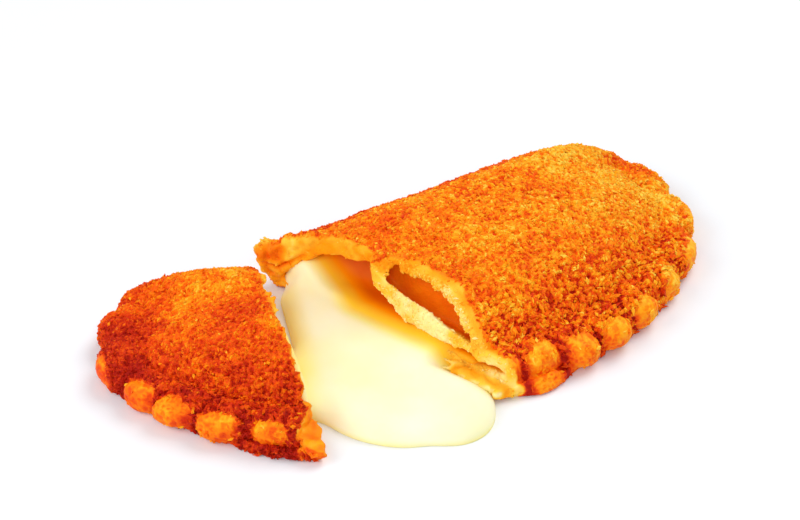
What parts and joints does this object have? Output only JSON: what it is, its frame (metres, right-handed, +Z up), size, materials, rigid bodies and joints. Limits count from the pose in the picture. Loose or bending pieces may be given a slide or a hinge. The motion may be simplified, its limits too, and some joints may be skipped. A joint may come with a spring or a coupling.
{
  "type": "cheese souffle snack",
  "caption": "Half-moon breaded cheese pastry with a crimped edge, cut in two with a small end turned aside and melted cheese flowing out between the halves.",
  "frame": {"origin": "on the surface it lies on, under the middle of the bounding box of both pieces and the cheese", "axes": "+X along the folded back edge towards the uncut end, +Y towards the fold, -Y towards the crimped front, +Z up"},
  "size_m": [0.1368, 0.0692, 0.0189],
  "materials": {
    "crust": "golden fried breadcrumbs, matte and grainy, with pale soft dough at the cut",
    "crust_dark": "darker fried breadcrumbs, matte and grainy, browned along the front",
    "cheese": "smooth melted pale cheese, soft gloss"
  },
  "bodies": {
    "root": {"pastry_large": "crust", "pastry_small": "crust_dark", "cheese": "cheese"}
  },
  "joints": []
}
